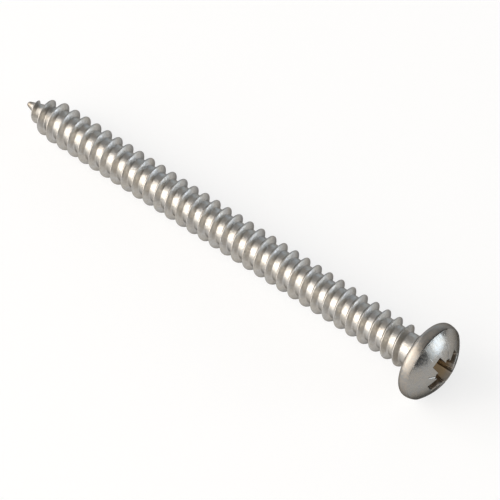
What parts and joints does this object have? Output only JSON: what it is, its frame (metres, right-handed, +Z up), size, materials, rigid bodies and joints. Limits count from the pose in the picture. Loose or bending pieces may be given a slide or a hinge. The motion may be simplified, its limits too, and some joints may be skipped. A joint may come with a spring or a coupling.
{
  "type": "sheet metal screw",
  "caption": "Pan head self-tapping screw, fully threaded to a cone point, with a cross recess with notches between its wings.",
  "frame": {"origin": "centre of the bounding box's bottom face, on the surface that the screw lies on", "axes": "+X along the length, from the point to the head; +Z up; the screw's axis rises 2.34 degrees towards the head"},
  "size_m": [0.0528, 0.0078, 0.0078],
  "materials": {
    "stainless_steel": "plain drawn and rolled stainless steel, satin to bright, with fine scratches"
  },
  "bodies": {
    "root": {"screw": "stainless_steel"}
  },
  "joints": []
}
